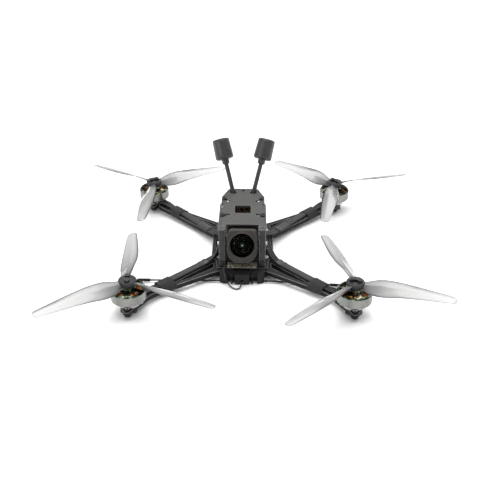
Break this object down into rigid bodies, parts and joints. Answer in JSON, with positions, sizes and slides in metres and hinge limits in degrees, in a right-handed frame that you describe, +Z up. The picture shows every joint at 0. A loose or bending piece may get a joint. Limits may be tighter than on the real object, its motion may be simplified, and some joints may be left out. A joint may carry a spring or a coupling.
{
  "type": "fpv racing drone",
  "caption": "Seven inch class racing quadcopter with slotted carbon arms, three-blade propellers, tilting nose camera and two rear video antennas.",
  "frame": {"origin": "centre of the underside, midway between the four motor axes, on the face that rests on the ground", "axes": "+Z up, -Y towards the camera at the front, +X towards the right of a viewer who faces the camera"},
  "size_m": [0.3676, 0.327, 0.1056],
  "materials": {
    "rubber_pad": "matt rubber anti-slip pad",
    "carbon": "woven carbon fibre laminate, satin",
    "cage_grey": "grey speckled carbon laminate, matt",
    "printed_black": "black printed flexible plastic",
    "standoff_metal": "dark anodised aluminium",
    "frame_screw_steel": "plain steel",
    "black_steel": "black oxide steel",
    "grommet_rubber": "soft rubber",
    "circuit_board": "dark solder mask with parts",
    "receiver_pcb": "pale board edge with ceramic and metal parts",
    "switch_plastic": "white plastic",
    "transmitter_case": "brown-black anodised heat sink",
    "capacitor_sleeve": "shrink sleeve with metal end",
    "cable_black": "black coax jacket",
    "wire_silicone": "black silicone insulation",
    "sleeving": "black braided cable sleeving",
    "tape": "black cloth harness tape",
    "motor_base_metal": "bright machined aluminium",
    "laminations": "coated steel laminations",
    "copper": "enamelled copper wire",
    "bearing_steel": "polished steel",
    "bell_metal": "satin anodised aluminium",
    "magnet": "nickel plated magnets",
    "prop_plastic": "light grey translucent moulded plastic",
    "camera_shell": "warm grey moulded shell",
    "lens_ring": "warm grey ring",
    "lens_glass": "black coated front glass",
    "camera_screw_steel": "plain steel",
    "antenna_plastic": "charcoal moulded plastic",
    "dipole_sleeve": "black sleeve"
  },
  "bodies": {
    "airframe": {"battery_pad": "rubber_pad", "bottom_plate": "carbon", "mid_plate": "carbon", "arm_front_left": "carbon", "arm_front_right": "carbon", "arm_rear_left": "carbon", "arm_rear_right": "carbon", "top_plate": "cage_grey", "camera_bracket_left": "cage_grey", "camera_bracket_right": "cage_grey", "front_antenna_holder": "printed_black", "rear_antenna_mount": "printed_black", "standoffs": "standoff_metal", "frame_screws": "frame_screw_steel", "top_screws": "black_steel", "stack_screws": "black_steel", "motor_screws": "black_steel", "stack_grommets": "grommet_rubber", "esc_board": "circuit_board", "flight_controller": "circuit_board", "receiver_board": "receiver_pcb", "video_transmitter": "transmitter_case", "capacitor": "capacitor_sleeve", "camera_cable": "cable_black", "antenna_leads": "cable_black", "motor_wires": "wire_silicone", "wire_wraps": "tape", "wire_sleeves": "sleeving", "motor_base_front_left": "motor_base_metal", "motor_base_front_right": "motor_base_metal", "motor_base_rear_left": "motor_base_metal", "motor_base_rear_right": "motor_base_metal", "motor_stators": "laminations", "motor_windings": "copper", "motor_bearings": "bearing_steel", "video_antenna_left": "antenna_plastic", "video_antenna_right": "antenna_plastic", "receiver_antenna": "dipole_sleeve"},
    "rotor_front_left": {"bell_front_left": "bell_metal", "magnets_front_left": "magnet", "propeller_front_left": "prop_plastic", "prop_screws_front_left": "black_steel"},
    "rotor_front_right": {"bell_front_right": "bell_metal", "magnets_front_right": "magnet", "propeller_front_right": "prop_plastic", "prop_screws_front_right": "black_steel"},
    "rotor_rear_left": {"bell_rear_left": "bell_metal", "magnets_rear_left": "magnet", "propeller_rear_left": "prop_plastic", "prop_screws_rear_left": "black_steel"},
    "rotor_rear_right": {"bell_rear_right": "bell_metal", "magnets_rear_right": "magnet", "propeller_rear_right": "prop_plastic", "prop_screws_rear_right": "black_steel"},
    "camera": {"camera_housing": "camera_shell", "lens_hood": "lens_ring", "lens_glass": "lens_glass", "camera_screws": "camera_screw_steel"},
    "boot_button": {"boot_button": "switch_plastic"},
    "link_button": {"link_button": "switch_plastic"}
  },
  "joints": [
    {"name": "spin_front_left", "type": "hinge", "parent": "airframe", "child": "rotor_front_left", "pos_m": [-0.1026, -0.101, 0.0275], "axis": [0, 0, 1], "continuous": true},
    {"name": "spin_front_right", "type": "hinge", "parent": "airframe", "child": "rotor_front_right", "pos_m": [0.1026, -0.101, 0.0275], "axis": [0, 0, 1], "continuous": true},
    {"name": "spin_rear_left", "type": "hinge", "parent": "airframe", "child": "rotor_rear_left", "pos_m": [-0.1026, 0.101, 0.0275], "axis": [0, 0, 1], "continuous": true},
    {"name": "spin_rear_right", "type": "hinge", "parent": "airframe", "child": "rotor_rear_right", "pos_m": [0.1026, 0.101, 0.0275], "axis": [0, 0, 1], "continuous": true},
    {"name": "camera_tilt", "type": "hinge", "parent": "airframe", "child": "camera", "pos_m": [0, -0.038, 0.0352], "axis": [-1, 0, 0], "range_deg": [-22, 16], "deforming": ["camera_cable"]},
    {"name": "boot_press", "type": "slide", "parent": "airframe", "child": "boot_button", "axis": [0, 0, -1], "range_m": [0, 0.00025], "stiffness_N_per_m": 3000},
    {"name": "link_press", "type": "slide", "parent": "airframe", "child": "link_button", "axis": [1, 0, 0], "range_m": [0, 0.0003], "stiffness_N_per_m": 2500}
  ]
}
